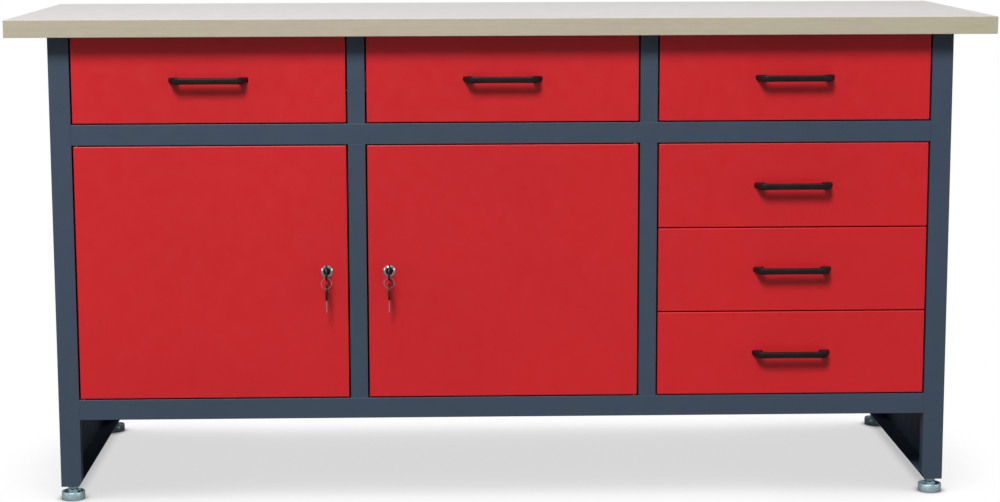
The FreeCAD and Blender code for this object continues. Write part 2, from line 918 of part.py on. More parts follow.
def make_foot(name, foot_x, foot_y):
    """A dished base, a hexagon to turn it by, and a stud up through the weld nut."""
    radius = D.foot_base_radius
    chamfer = D.foot_base_chamfer
    rim = radius - D.foot_rim
    dish = D.foot_base_height - D.foot_dish
    outline = [
        (0, 0),
        (radius - chamfer, 0),
        (radius, chamfer),
        (radius, D.foot_base_height),
        (rim, D.foot_base_height),
        (rim - D.foot_dish_slope, dish),
        (0, dish),
    ]
    base = revolve((foot_x, foot_y, 0), outline)
    hex_low = dish - OVERLAP
    hex_start = (foot_x, foot_y, hex_low)
    nut = hexagon(hex_start, D.frame_lift - hex_low, D.foot_hex_radius)
    stud_low = D.frame_lift - OVERLAP
    stud_start = (foot_x, foot_y, stud_low)
    stud = rod("z", stud_start, D.foot_stud_top - stud_low, D.foot_stud_radius)
    keep(name, fuse(base, nut, stud))


# Build every sub-part.

drawers = drawer_table()

make_worktop()
make_side_frames()
make_rails()
make_uprights()
make_panels()
make_shelves()
make_frame_fasteners()
make_slides(drawers)
for drawer_name, (drawer_bay, drawer_low, drawer_high) in drawers.items():
    make_drawer(drawer_name, drawer_bay, drawer_low, drawer_high)

hinge_pins = []
for door_bay, door_hinge_side in (("left", -1), ("centre", 1)):
    door_name = f"door_{door_bay}"
    door_lock_x, door_pins = make_door(door_name, door_bay, door_hinge_side)
    hinge_pins += door_pins
    door_plug_front = make_lock(door_name, door_lock_x)
    make_keys(door_name, door_lock_x, door_plug_front)
keep("door_hinge_pins", group(hinge_pins))

for side_name, side_x in (("left", -FOOT_X), ("right", FOOT_X)):
    for end_name, end_y in zip(("front", "rear"), FOOT_Y):
        make_foot(f"foot_{end_name}_{side_name}", side_x, end_y)

doc.recompute()

# Nothing is written unless every object is sound.

for thing in doc.Objects:
    if "Invalid" in thing.State or "Error" in thing.State:
        raise RuntimeError(f"{thing.Name} ({thing.Label}) failed: {thing.State}")
for node, piece in subparts.items():
    if piece.Shape.isNull() or not piece.Shape.isValid():
        raise RuntimeError(f"{node} has no valid shape")
for node, piece in subparts.items():
    piece.Shape.exportStep(f"parts/{node}.step")
print(len(subparts), "sub-parts written")
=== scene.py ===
import json
import math

import bmesh
import bpy
from mathutils import Matrix, Vector

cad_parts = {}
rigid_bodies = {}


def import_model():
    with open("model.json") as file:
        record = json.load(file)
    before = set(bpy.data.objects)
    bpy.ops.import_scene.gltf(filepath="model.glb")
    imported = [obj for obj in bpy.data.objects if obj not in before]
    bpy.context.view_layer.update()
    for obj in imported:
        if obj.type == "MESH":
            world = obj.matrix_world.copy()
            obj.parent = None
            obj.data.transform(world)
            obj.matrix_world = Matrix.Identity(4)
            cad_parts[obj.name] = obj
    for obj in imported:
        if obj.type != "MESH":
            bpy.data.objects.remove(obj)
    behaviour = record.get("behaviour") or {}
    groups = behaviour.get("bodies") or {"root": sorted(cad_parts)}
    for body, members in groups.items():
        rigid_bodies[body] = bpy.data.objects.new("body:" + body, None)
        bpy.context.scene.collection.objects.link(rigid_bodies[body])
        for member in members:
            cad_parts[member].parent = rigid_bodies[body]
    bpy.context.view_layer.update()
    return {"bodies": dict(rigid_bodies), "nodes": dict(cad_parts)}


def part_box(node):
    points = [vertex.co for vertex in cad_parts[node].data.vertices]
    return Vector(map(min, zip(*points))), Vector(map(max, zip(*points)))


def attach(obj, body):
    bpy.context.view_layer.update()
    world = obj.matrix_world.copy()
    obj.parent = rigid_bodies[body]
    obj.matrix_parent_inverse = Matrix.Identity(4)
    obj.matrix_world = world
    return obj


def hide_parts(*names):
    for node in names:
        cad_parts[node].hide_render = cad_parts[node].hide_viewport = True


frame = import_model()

# The looks of a steel workbench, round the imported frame. Everything is in
# metres: +X runs along the bench, +Y from front to back and +Z up.

MM = 0.001
scene = bpy.context.scene

# ---------------------------------------------------------------- camera

CAMERA_PLACE = Vector((-0.11025, -4.22188, 1.05494))
CAMERA_YAW = 0.0264
CAMERA_PITCH = -0.1534
CAMERA_ROLL = -0.0027
CAMERA_LENS = 82.49


def make_camera():
    """A long lens in front of the bench, a little left of it and above its top."""
    data = bpy.data.cameras.new("camera")
    data.lens = CAMERA_LENS
    data.sensor_width = 36
    data.sensor_fit = "HORIZONTAL"
    data.clip_end = 200
    camera = bpy.data.objects.new("camera", data)
    scene.collection.objects.link(camera)
    level = math.cos(CAMERA_PITCH)
    forward = Vector(
        (
            math.sin(CAMERA_YAW) * level,
            math.cos(CAMERA_YAW) * level,
            math.sin(CAMERA_PITCH),
        )
    )
    right = Vector((math.cos(CAMERA_YAW), -math.sin(CAMERA_YAW), 0))
    up = right.cross(forward)
    cos_roll = math.cos(CAMERA_ROLL)
    sin_roll = math.sin(CAMERA_ROLL)
    tilted_right = right * cos_roll + up * sin_roll
    tilted_up = up * cos_roll - right * sin_roll
    turn = Matrix((tilted_right, tilted_up, -forward)).transposed()
    camera.matrix_world = Matrix.Translation(CAMERA_PLACE) @ turn.to_4x4()
    scene.camera = camera


# ---------------------------------------------------------------- materials


def srgb(red, green, blue):
    """A linear colour from 8-bit sRGB values."""
    channels = []
    for value in (red / 255, green / 255, blue / 255):
        if value <= 0.04045:
            channels.append(value / 12.92)
        else:
            channels.append(((value + 0.055) / 1.055) ** 2.4)
    return (*channels, 1.0)


def scaled(color, factor):
    """A colour made lighter or darker."""
    return (*(min(1.0, channel * factor) for channel in color[:3]), 1.0)


class Material:
    """A Principled material with helpers for procedural detail in object space."""

    def __init__(self, name, roughness, metallic=0.0):
        self.data = bpy.data.materials.new(name)
        self.data.use_nodes = True
        self.nodes = self.data.node_tree.nodes
        self.links = self.data.node_tree.links
        self.shader = self.nodes["Principled BSDF"]
        self.shader.inputs["Roughness"].default_value = roughness
        self.shader.inputs["Metallic"].default_value = metallic
        self.place = self.nodes.new("ShaderNodeTexCoord").outputs["Object"]

    def node(self, kind, **inputs):
        """A new node with some inputs set, named with _ for each space."""
        made = self.nodes.new(kind)
        for name, value in inputs.items():
            made.inputs[name.replace("_", " ")].default_value = value
        return made

    def join(self, source, target):
        self.links.new(source, target)

    def stretched(self, stretch):
        """Object coordinates scaled unevenly, so that a noise runs along one way."""
        mapping = self.node("ShaderNodeMapping", Scale=stretch)
        self.join(self.place, mapping.inputs["Vector"])
        return mapping.outputs["Vector"]

    def noise(self, scale, detail=2.0, stretch=None):
        """A noise's strength in object space, stretched or not."""
        made = self.node("ShaderNodeTexNoise", Scale=scale, Detail=detail)
        source = self.stretched(stretch) if stretch else self.place
        self.join(source, made.inputs["Vector"])
        return made.outputs["Fac"]

    def ramp(self, factor, stops):
        """A colour ramp: stops are (position, colour)."""
        made = self.nodes.new("ShaderNodeValToRGB")
        elements = made.color_ramp.elements
        while len(elements) < len(stops):
            elements.new(0.5)
        for element, (position, color) in zip(elements, stops):
            element.position = position
            element.color = color
        self.join(factor, made.inputs["Fac"])
        return made.outputs["Color"]

    def spread(self, factor, low, high):
        """A noise's middle range mapped to low..high."""
        made = self.node("ShaderNodeMapRange", To_Min=low, To_Max=high)
        made.inputs["From Min"].default_value = 0.3
        made.inputs["From Max"].default_value = 0.7
        self.join(factor, made.inputs["Value"])
        return made.outputs["Result"]

    def mix(self, factor, first, second, blend="MIX"):
        """Two colours mixed by a number or by another node's output."""
        made = self.nodes.new("ShaderNodeMix")
        made.data_type = "RGBA"
        made.blend_type = blend
        if isinstance(factor, float):
            made.inputs["Factor"].default_value = factor
        else:
            self.join(factor, made.inputs["Factor"])
        self.join(first, made.inputs["A"])
        self.join(second, made.inputs["B"])
        return made.outputs["Result"]

    def color(self, source):
        self.join(source, self.shader.inputs["Base Color"])

    def rough(self, source):
        self.join(source, self.shader.inputs["Roughness"])

    def bump(self, height, strength, distance):
        """Fine relief in the surface's shading."""
        made = self.node("ShaderNodeBump", Strength=strength, Distance=distance)
        self.join(height, made.inputs["Height"])
        self.join(made.outputs["Normal"], self.shader.inputs["Normal"])


def powder_coat(name, color, roughness):
    """Sprayed and baked paint: a fine orange peel, and slow drifts of tone and gloss."""
    paint = Material(name, roughness)
    drift = paint.noise(2.2, 3.0)
    tone = paint.ramp(
        drift, [(0.3, scaled(color, 0.955)), (0.7, scaled(color, 1.04))]
    )
    speck = paint.noise(900.0, 1.0)
    grain = paint.ramp(speck, [(0.3, (0.93, 0.93, 0.93, 1)), (0.7, (1, 1, 1, 1))])
    paint.color(paint.mix(0.8, tone, grain, "MULTIPLY"))
    paint.rough(paint.spread(paint.noise(35.0), roughness - 0.04, roughness + 0.05))
    paint.bump(paint.noise(520.0, 2.0), 0.12, 0.0003)
    return paint.data


def plated_metal(name, color, roughness, grain, metallic=1.0):
    """Plated steel with fine drawn lines and a cloudy tone."""
    metal = Material(name, roughness, metallic)
    cloud = metal.noise(45.0, 4.0)
    tone = metal.ramp(cloud, [(0.3, scaled(color, 0.82)), (0.7, scaled(color, 1.08))])
    metal.color(tone)
    lines = metal.noise(260.0, 2.0, stretch=grain)
    metal.rough(metal.spread(lines, roughness - 0.06, roughness + 0.1))
    metal.bump(lines, 0.15, 0.0002)
    return metal.data


def chrome_metal(name):
    """Bright chrome with faint smears in its gloss."""
    metal = Material(name, 0.08, 1.0)
    smear = metal.noise(120.0, 3.0)
    color = srgb(214, 216, 220)
    metal.color(metal.ramp(smear, [(0.3, scaled(color, 0.9)), (0.7, color)]))
    metal.rough(metal.spread(smear, 0.06, 0.17))
    metal.bump(smear, 0.04, 0.0001)
    return metal.data


def moulded_plastic(name, color, roughness):
    """Dark moulded plastic with a fine spark-eroded grain."""
    plastic = Material(name, roughness)
    plastic.shader.inputs["Specular IOR Level"].default_value = 0.22
    cloud = plastic.noise(60.0, 3.0)
    plastic.color(
        plastic.ramp(cloud, [(0.3, scaled(color, 0.8)), (0.7, scaled(color, 1.2))])
    )
    plastic.rough(plastic.spread(cloud, roughness - 0.05, roughness + 0.06))
    plastic.bump(plastic.noise(2400.0, 2.0), 0.25, 0.0002)
    return plastic.data


def board():
    """The worktop: a pale grey laminate face on a board with a beige streaked edge."""
    wood = Material("worktop_board", 0.42)
    face = srgb(233, 231, 231)
    edge = srgb(174, 168, 147)
    streaks = wood.noise(9.0, 5.0, stretch=(0.35, 0.35, 26.0))
    edge_color = wood.ramp(
        streaks,
        [(0.28, scaled(edge, 0.91)), (0.5, edge), (0.74, scaled(edge, 1.05))],
    )
    flecks = wood.noise(140.0, 4.0, stretch=(0.25, 1.0, 1.0))
    fleck_tone = wood.ramp(
        flecks, [(0.34, (0.93, 0.925, 0.915, 1)), (0.6, (1, 1, 1, 1))]
    )
    warm = wood.ramp(
        wood.noise(3.0, 2.0),
        [(0.3, srgb(178, 174, 148)), (0.5, srgb(180, 170, 155)), (0.7, edge)],
    )
    edge_color = wood.mix(0.45, edge_color, warm)
    clouds = wood.noise(1.6, 3.0)
    face_color = wood.ramp(clouds, [(0.3, scaled(face, 0.965)), (0.7, face)])
    geometry = wood.nodes.new("ShaderNodeNewGeometry")
    split = wood.nodes.new("ShaderNodeSeparateXYZ")
    wood.join(geometry.outputs["True Normal"], split.inputs["Vector"])
    upright = wood.nodes.new("ShaderNodeMath")
    upright.operation = "ABSOLUTE"
    wood.join(split.outputs["Z"], upright.inputs[0])
    flat = wood.node("ShaderNodeMapRange")
    flat.inputs["From Min"].default_value = 0.55
    flat.inputs["From Max"].default_value = 0.85
    wood.join(upright.outputs["Value"], flat.inputs["Value"])
    both = wood.mix(flat.outputs["Result"], edge_color, face_color)
    wood.color(wood.mix(0.55, both, fleck_tone, "MULTIPLY"))
    wood.rough(wood.spread(flecks, 0.38, 0.5))
    wood.bump(wood.noise(700.0, 3.0, stretch=(0.3, 1.0, 1.0)), 0.1, 0.0003)
    return wood.data


RED = srgb(196, 24, 32)
BLUE_GREY = srgb(54, 69, 87)

RED_PAINT = powder_coat("front_paint", RED, 0.4)
FRAME_PAINT = powder_coat("frame_paint", BLUE_GREY, 0.45)
INNER_PAINT = powder_coat("inner_paint", scaled(BLUE_GREY, 1.15), 0.5)
ZINC = plated_metal("zinc_plate", srgb(176, 182, 188), 0.32, (1.0, 0.06, 1.0))
FOOT_ZINC = plated_metal("foot_plate", srgb(196, 226, 234), 0.38, (1.0, 1.0, 0.2), 0.7)
KEY_STEEL = plated_metal("key_plate", srgb(205, 200, 196), 0.24, (1.0, 1.0, 0.1))
PLUG_STEEL = plated_metal("plug_plate", srgb(58, 68, 72), 0.35, (1.0, 1.0, 0.1))
CHROME = chrome_metal("chrome_plate")
HANDLE_BLACK = moulded_plastic("handle_black", srgb(22, 17, 21), 0.5)
KEY_BLACK = moulded_plastic("key_black", srgb(26, 34, 38), 0.4)
BOARD = board()

# ---------------------------------------------------------------- mesh helpers


def mesh_piece(name, verts, faces, material, body, smooth=True):
    """Make a mesh object that rides on a body, with outward normals."""
    mesh = bpy.data.meshes.new(name)
    mesh.from_pydata([tuple(v) for v in verts], [], faces)
    bm = bmesh.new()
    bm.from_mesh(mesh)
    bmesh.ops.remove_doubles(bm, verts=bm.verts, dist=1e-7)
    bmesh.ops.recalc_face_normals(bm, faces=bm.faces)
    bm.to_mesh(mesh)
    bm.free()
    if smooth:
        mesh.shade_smooth()
        mesh.set_sharp_from_angle(angle=math.radians(35))
    mesh.materials.append(material)
    piece = bpy.data.objects.new(name, mesh)
    scene.collection.objects.link(piece)
    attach(piece, body)
    return piece


class Solid:
    """Vertices and faces gathered from several shapes, for one piece."""

    def __init__(self):
        self.verts = []
        self.faces = []

    def add(self, verts, faces):
        """Take in another shape's vertices and faces."""
        base = len(self.verts)
        self.verts += [Vector(v) for v in verts]
        self.faces += [[base + i for i in face] for face in faces]

    def rings(self, rings, closed=False):
        """Skin a row of equal rings, capped at both ends unless closed on itself."""
        count = len(rings[0])
        verts = [v for ring in rings for v in ring]
        faces = []
        pairs = len(rings) if closed else len(rings) - 1
        for row in range(pairs):
            low = row * count
            high = (row + 1) % len(rings) * count
            for i in range(count):
                j = (i + 1) % count
                faces.append([low + i, low + j, high + j, high + i])
        if not closed:
            faces.append(list(range(count))[::-1])
            last = (len(rings) - 1) * count
            faces.append([last + i for i in range(count)])
        self.add(verts, faces)

    def moved(self, matrix):
        """Move everything gathered so far."""
        self.verts = [matrix @ v for v in self.verts]
        return self

    def piece(self, name, material, body, slot):
        """Make the gathered shapes one visible piece."""
        return mesh_piece(name, self.verts, self.faces, material, body)


def ring(radius, height, count=48, turn=0.0):
    """Points of a circle round Z."""
    points = []
    for i in range(count):
        angle = turn + i * math.tau / count
        points.append(
            Vector((radius * math.cos(angle), radius * math.sin(angle), height))
        )
    return points


def in_metres(profile):
    """A profile given in millimetres."""
    return [(radius * MM, height * MM) for radius, height in profile]


def lathe(solid, profile, count=48):
    """Turn a profile of (radius, height) points round Z, capped at both ends."""
    solid.rings([ring(radius, height, count) for radius, height in profile])


def hexagon_ring(across, height, round_to, turn=0.0):
    """A hexagon across its flats, with its corners held inside a circle."""
    points = []
    for i in range(48):
        angle = i * math.tau / 48
        sector = (angle + math.pi / 6) % (math.pi / 3) - math.pi / 6
        radius = min(across / 2 / math.cos(sector), round_to)
        points.append(
            Vector(
                (
                    radius * math.cos(angle + turn),
                    radius * math.sin(angle + turn),
                    height,
                )
            )
        )
    return points


def hex_nut(solid, across, low, high, turn=0.0):
    """A nut with its corners chamfered at both ends."""
    corner = across / math.sqrt(3)
    chamfer = (corner - across / 2) * 0.8
    solid.rings(
        [
            hexagon_ring(across, low, across / 2 * 0.97, turn),
            hexagon_ring(across, low + chamfer * 0.5, corner, turn),
            hexagon_ring(across, high - chamfer * 0.5, corner, turn),
            hexagon_ring(across, high, across / 2 * 0.97, turn),
        ]
    )


def thread(solid, radius, depth, pitch, low, high, count=32):
    """A threaded rod: the crest's height round the rod depends on the angle."""
    steps = max(2, round((high - low) / pitch * 6))
    rings = []
    for step in range(steps + 1):
        height = low + (high - low) * step / steps
        points = []
        for i in range(count):
            angle = i * math.tau / count
            phase = (height / pitch - i / count) % 1.0
            rise = abs(phase * 2 - 1)
            reach = radius - depth * rise
            points.append(
                Vector((reach * math.cos(angle), reach * math.sin(angle), height))
            )
        rings.append(points)
    solid.rings(rings)


def face_forward(x, y, z):
    """A matrix that stands a lathe shape's +Z along -Y at a point."""
    return Matrix.Translation((x, y, z)) @ Matrix.Rotation(math.radians(90), 4, "X")


# ---------------------------------------------------------------- CAD nodes


def soften(node, width):
    """Round a folded sheet's sharp edges a little, where the light catches them."""
    weld = node.modifiers.new("weld", "WELD")
    weld.merge_threshold = 0.00001
    bevel = node.modifiers.new("bend", "BEVEL")
    bevel.width = width
    bevel.segments = 2
    bevel.limit_method = "ANGLE"
    bevel.angle_limit = math.radians(50)
    bevel.use_clamp_overlap = True


def dress(name, material, width=0.0):
    """Give a CAD node its material, and round its edges if a width is given."""
    node = frame["nodes"][name]
    node.data.materials.clear()
    node.data.materials.append(material)
    if width:
        soften(node, width)


INNER_NODES = ("middle_deck", "bottom_panel", "back_panel")
ZINC_NODES = ("frame_fasteners", "shelf_pegs", "slide_rails", "door_hinge_pins")
FRONT_RAILS = ("middle_rail", "bottom_rail")


def dress_frame():
    """Give every CAD node that stays its paint or plating."""
    for name in frame["nodes"]:
        if name == "worktop":
            dress(name, BOARD, 1.2 * MM)
        elif name in INNER_NODES or name.startswith("shelf_") and name != "shelf_pegs":
            dress(name, INNER_PAINT, 0.2 * MM)
        elif name.endswith("_tray"):
            dress(name, INNER_PAINT, 0.2 * MM)
        elif name in ZINC_NODES or name.endswith("_runners"):
            dress(name, ZINC, 0.15 * MM)
        elif name.endswith("_front") or name.endswith("_panel"):
            dress(name, RED_PAINT)
        elif name.startswith("side_frame") or name in FRONT_RAILS:
            dress(name, FRAME_PAINT, 0.6 * MM)
        else:
            dress(name, FRAME_PAINT, 0.25 * MM)


# ---------------------------------------------------------------- handles

HANDLE_LENGTH = 138 * MM
HANDLE_FOOT = 20 * MM
BAR_LINE = 22.4 * MM
BAR_THICK = 8.4 * MM
BAR_HEIGHT = 12.8 * MM
FOOT_HEIGHT = 11.2 * MM
WAIST = 0.16
BEND_RADIUS = 9 * MM
STATION_STEPS = 8
PANEL_THICK = 1 * MM
SCREW_OFFSET = 60 * MM
SCREW_PROFILE_MM = (
    (0.4, 2.4),
    (2.2, 2.3),
    (3.4, 1.6),
    (4.0, 0.6),
    (4.0, 0.0),
    (2.0, 0.0),
    (2.0, -3.0),
)


def rounded_section(centre, across, up, width, height, count=28):
    """A rectangle with well rounded corners: a superellipse of fourth power."""
    points = []
    for i in range(count):
        angle = i * math.tau / count
        cosine = math.cos(angle)
        sine = math.sin(angle)
        along = math.copysign(abs(cosine) ** 0.5, cosine) * width / 2
        rise = math.copysign(abs(sine) ** 0.5, sine) * height / 2
        points.append(centre + across * along + up * rise)
    return points


def handle_stations():
    """Half of a bow handle's centre line: distance along the bench, reach, angle."""
    foot = HANDLE_LENGTH / 2 - HANDLE_FOOT / 2
    leg = BAR_LINE - BEND_RADIUS
    stations = [
        (foot, leg * step / STATION_STEPS, 0.0) for step in range(STATION_STEPS + 1)
    ]
    for step in range(1, STATION_STEPS + 1):
        angle = math.pi / 2 * step / STATION_STEPS
        inward = foot - BEND_RADIUS * (1 - math.cos(angle))
        stations.append((inward, leg + BEND_RADIUS * math.sin(angle), angle))
    bend_end = foot - BEND_RADIUS
    for step in range(1, STATION_STEPS + 1):
        along = bend_end * (1 - step / STATION_STEPS)
        stations.append((along, BAR_LINE, math.pi / 2))
    return stations


def screw_heads(centre_x, front_y, centre_z):
    """The two screws that hold a handle, seen from inside the drawer's front."""
    screws = Solid()
    for side in (-1, 1):
        head = Solid()
        lathe(head, in_metres(SCREW_PROFILE_MM))
        x = centre_x + side * SCREW_OFFSET
        place = Matrix.Translation((x, front_y + PANEL_THICK, centre_z))
        head.moved(place @ Matrix.Rotation(math.radians(-90), 4, "X"))
        screws.add(head.verts, head.faces)
    return screws


def make_handle(drawer):
    """A black bow handle with flared feet, and the screws behind the front."""
    low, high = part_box(f"{drawer}_handle")
    front_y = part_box(f"{drawer}_front")[0].y
    centre_x = (low.x + high.x) / 2
    centre_z = (low.z + high.z) / 2
    up = Vector((0, 0, 1))
    rings = []
    stations = handle_stations()
    both = [(1, s) for s in stations] + [(-1, s) for s in reversed(stations[:-1])]
    for side, (along, reach, angle) in both:
        centre = Vector((centre_x + side * along, front_y - reach, centre_z))
        across = Vector((-side * math.cos(angle), math.sin(angle), 0))
        flare = max(0.0, 1 - reach / (BAR_LINE - BEND_RADIUS)) ** 1.6
        width = BAR_THICK + 1.5 * MM * (1 - angle / (math.pi / 2))
        width += (HANDLE_FOOT - width) * flare
        slim = 1 - WAIST * (1 - (along / (HANDLE_LENGTH / 2)) ** 4)
        height = (BAR_HEIGHT + (FOOT_HEIGHT - BAR_HEIGHT) * flare ** 0.6) * slim
        rings.append(rounded_section(centre, across, up, width, height))
    solid = Solid()
    solid.rings(rings)
    piece = solid.piece(f"{drawer}_bow", HANDLE_BLACK, drawer, "handle_black")
    screws = screw_heads(centre_x, front_y, centre_z)
    heads = screws.piece(f"{drawer}_handle_screws", ZINC, drawer, "zinc")
    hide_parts(f"{drawer}_handle")
    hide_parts(f"{drawer}_handle")


# ---------------------------------------------------------------- feet


FOOT_TOP = 14 * MM
FOOT_SIDES = 64
NUT_ACROSS = 16.6 * MM
LOW_NUT = (10.0 * MM, 17.4 * MM)
HIGH_NUT = (18.2 * MM, 24.9 * MM)
HIGH_NUT_TURN = 0.3
STUD_RADIUS = 5 * MM
STUD_LOW = 9 * MM
THREAD_DEPTH = 0.55 * MM
THREAD_PITCH = 1.5 * MM


def make_foot(node):
    """A dished and plated base, a hexagon and a locknut on a threaded stud."""
    low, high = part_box(node)
    centre = Matrix.Translation(((low.x + high.x) / 2, (low.y + high.y) / 2, 0))
    radius = (high.x - low.x) / 2
    solid = Solid()
    lathe(
        solid,
        [
            (0.2 * MM, 0),
            (radius - 2.2 * MM, 0),
            (radius - 0.7 * MM, 0.6 * MM),
            (radius, 2.2 * MM),
            (radius, FOOT_TOP - 1.4 * MM),
            (radius - 0.5 * MM, FOOT_TOP - 0.3 * MM),
            (radius - 1.4 * MM, FOOT_TOP),
            (radius - 2.4 * MM, FOOT_TOP - 0.4 * MM),
            (radius - 3.2 * MM, FOOT_TOP - 2.4 * MM),
            (radius - 4.4 * MM, 9.6 * MM),
            (radius - 7.0 * MM, 8.8 * MM),
            (10 * MM, 8.6 * MM),
            (9.4 * MM, 10.2 * MM),
            (4 * MM, 10.2 * MM),
            (0.2 * MM, 10.2 * MM),
        ],
        FOOT_SIDES,
    )
    hex_nut(solid, NUT_ACROSS, *LOW_NUT)
    hex_nut(solid, NUT_ACROSS, *HIGH_NUT, HIGH_NUT_TURN)
    thread(solid, STUD_RADIUS, THREAD_DEPTH, THREAD_PITCH, STUD_LOW, high.z)
    solid.moved(centre)
    piece = solid.piece(f"{node}_plated", FOOT_ZINC, node, "foot_zinc")
    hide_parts(node)


# ---------------------------------------------------------------- locks and keys


def poly_spline(curve, points):
    """A closed straight-sided outline in a flat curve."""
    spline = curve.splines.new("POLY")
    spline.points.add(len(points) - 1)
    spline.use_cyclic_u = True
    for point, (x, y) in zip(spline.points, points):
        point.co = (x, y, 0, 1)


def plate_mesh(outlines, thick, rounding):
    """A flat plate from outlines with holes, with rounded edges, as plain mesh data."""
    curve = bpy.data.curves.new("plate", "CURVE")
    curve.dimensions = "2D"
    curve.fill_mode = "BOTH"
    curve.resolution_u = 8
    curve.extrude = thick / 2 - rounding
    curve.bevel_depth = rounding
    curve.bevel_resolution = 2
    curve.offset = -rounding
    outlines(curve)
    holder = bpy.data.objects.new("plate", curve)
    mesh = bpy.data.meshes.new_from_object(holder)
    verts = [v.co.copy() for v in mesh.vertices]
    faces = [list(p.vertices) for p in mesh.polygons]
    bpy.data.objects.remove(holder)
    bpy.data.curves.remove(curve)
    bpy.data.meshes.remove(mesh)
    return verts, faces


HEAD_RADIUS = 14 * MM
HEAD_CENTRE = 15 * MM
HEAD_THICK = 3.2 * MM
NECK_HALF = 5 * MM
SLOT_CENTRE = 20.5 * MM
SLOT_HALF = 10 * MM
SLOT_END = 2.3 * MM
BLADE_THICK = 1.8 * MM
BLADE_HALF = 3.2 * MM
BLADE_CUTS_MM = (0.9, 1.7, 0.6, 1.3, 1.9, 0.8)


def head_outlines(curve):
    """A round key head on a short flat neck, with a slot for the ring."""
    points = []
    for i in range(40):
        angle = i * math.tau / 40 + math.pi / 2
        x = HEAD_RADIUS * math.cos(angle)
        y = HEAD_CENTRE + HEAD_RADIUS * math.sin(angle)
        points.append((x, y))
    neck = [(-NECK_HALF, 0.0), (NECK_HALF, 0.0)]
    split = [i for i, (x, y) in enumerate(points) if abs(x) < NECK_HALF and y < HEAD_CENTRE]
    outline = points[: split[0]] + neck + points[split[-1] + 1 :]
    poly_spline(curve, outline)
    poly_spline(curve, slot_outline())


def slot_outline():
    """A long hole with round ends."""
    straight = SLOT_HALF - SLOT_END
    points = []
    for side in (1, -1):
        for i in range(9):
            angle = -math.pi / 2 + i * math.pi / 8
            if side < 0:
                angle += math.pi
            x = side * straight + SLOT_END * math.cos(angle)
            points.append((x, SLOT_CENTRE + SLOT_END * math.sin(angle)))
    return points


def blade_outlines(length):
    """A key blade with a row of cuts on one side."""
    half = BLADE_HALF

    def draw(curve):
        points = [(-half, 1 * MM), (-half, -length + 2 * MM), (-0.6 * MM, -length)]
        points.append((half - 1.5 * MM, -length + 1.2 * MM))
        step = (length - 8 * MM) / len(BLADE_CUTS_MM)
        for i, depth in enumerate(BLADE_CUTS_MM):
            y = -length + 2.6 * MM + step * i
            points.append((half - depth * MM, y))
            points.append((half - depth * MM, y + step * 0.35))
            points.append((half - 0.1 * MM, y + step * 0.75))
        points.append((half, 1 * MM))
        poly_spline(curve, points)

    return draw


def make_key(name, place, length, body):
    """A key: a dark moulded head with a slot, and a cut steel blade."""
    head = Solid()
    head.add(*plate_mesh(head_outlines, HEAD_THICK, 0.7 * MM))
    head.moved(place)
    top = head.piece(f"{name}_head", KEY_BLACK, body, "key_steel")
    blade = Solid()
    blade.add(*plate_mesh(blade_outlines(length), BLADE_THICK, 0.25 * MM))
    blade.moved(place)
    steel = blade.piece(f"{name}_blade", KEY_STEEL, body, "key_steel")
    return top, steel


RING_WIRE = 0.48 * MM
RING_TURNS = 1.92
RING_STEPS = 120
RING_START = 0.4
CAD_RING_WIRE = 0.9 * MM


def split_ring(name, centre, radius, body):
    """A spring-steel ring wound nearly twice, each turn beside the other."""
    wire = RING_WIRE
    rings = []
    for i in range(RING_STEPS + 1):
        part = i / RING_STEPS
        angle = part * RING_TURNS * math.tau + RING_START
        step_over = (part - 0.5) * 1.7 * wire * RING_TURNS
        out = Vector((math.cos(angle), 0, math.sin(angle)))
        across = Vector((0, 1, 0))
        middle = centre + out * radius + across * step_over * 0.5
        ring_points = []
        for j in range(10):
            around = j * math.tau / 10
            offset = out * math.cos(around) * wire * 1.5
            offset += across * math.sin(around) * wire * 0.72
            ring_points.append(middle + offset)
        rings.append(ring_points)
    solid = Solid()
    solid.rings(rings)
    return solid.piece(name, CHROME, body, "ring_chrome")


BEZEL_RADIUS = 11
BARREL_PROFILE_MM = (
    (6.15, -23),
    (6.15, -0.6),
    (6.4, -0.1),
    (6.8, 0.0),
    (7.6, -0.2),
    (8.6, -0.7),
    (9.6, -1.35),
    (10.4, -2.0),
    (10.9, -2.6),
    (BEZEL_RADIUS, -3.0),
    (9.0, -3.0),
    (9.0, -23),
)
LOCK_NUT_ACROSS = 23 * MM
LOCK_NUT_CORNER = 12.9 * MM
LOCK_NUT_BORE = 8.8 * MM
LOCK_NUT_FRONT = -4.0 * MM
LOCK_NUT_REAR = -8.0 * MM


def lock_shell():
    """A domed bezel with its barrel, and the nut that clamps it to the door."""
    shell = Solid()
    profile = in_metres(BARREL_PROFILE_MM)
    shell.rings([ring(radius, height) for radius, height in profile], closed=True)
    nut = Solid()
    nut.rings(
        [
            hexagon_ring(LOCK_NUT_ACROSS, LOCK_NUT_FRONT, LOCK_NUT_CORNER),
            hexagon_ring(LOCK_NUT_ACROSS, LOCK_NUT_REAR, LOCK_NUT_CORNER),
            ring(LOCK_NUT_BORE, LOCK_NUT_REAR),
            ring(LOCK_NUT_BORE, LOCK_NUT_FRONT),
        ],
        closed=True,
    )
    shell.add(nut.verts, nut.faces)
    return shell


def make_lock(side):
    """A door's lock: its polished bezel and barrel, and the dark plug and cam."""
    door = f"door_{side}"
    low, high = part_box(f"{door}_lock_housing")
    centre_x = (low.x + high.x) / 2
    centre_z = (low.z + high.z) / 2
    shell = lock_shell().moved(face_forward(centre_x, low.y, centre_z))
    housing = shell.piece(f"{door}_lock_shell", CHROME, door, "lock_chrome")
    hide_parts(f"{door}_lock_housing")
    dress(f"{door}_lock_cam", PLUG_STEEL, 0.2 * MM)
    make_lock_key(side, centre_x, centre_z)
    make_key_ring(side, centre_x)


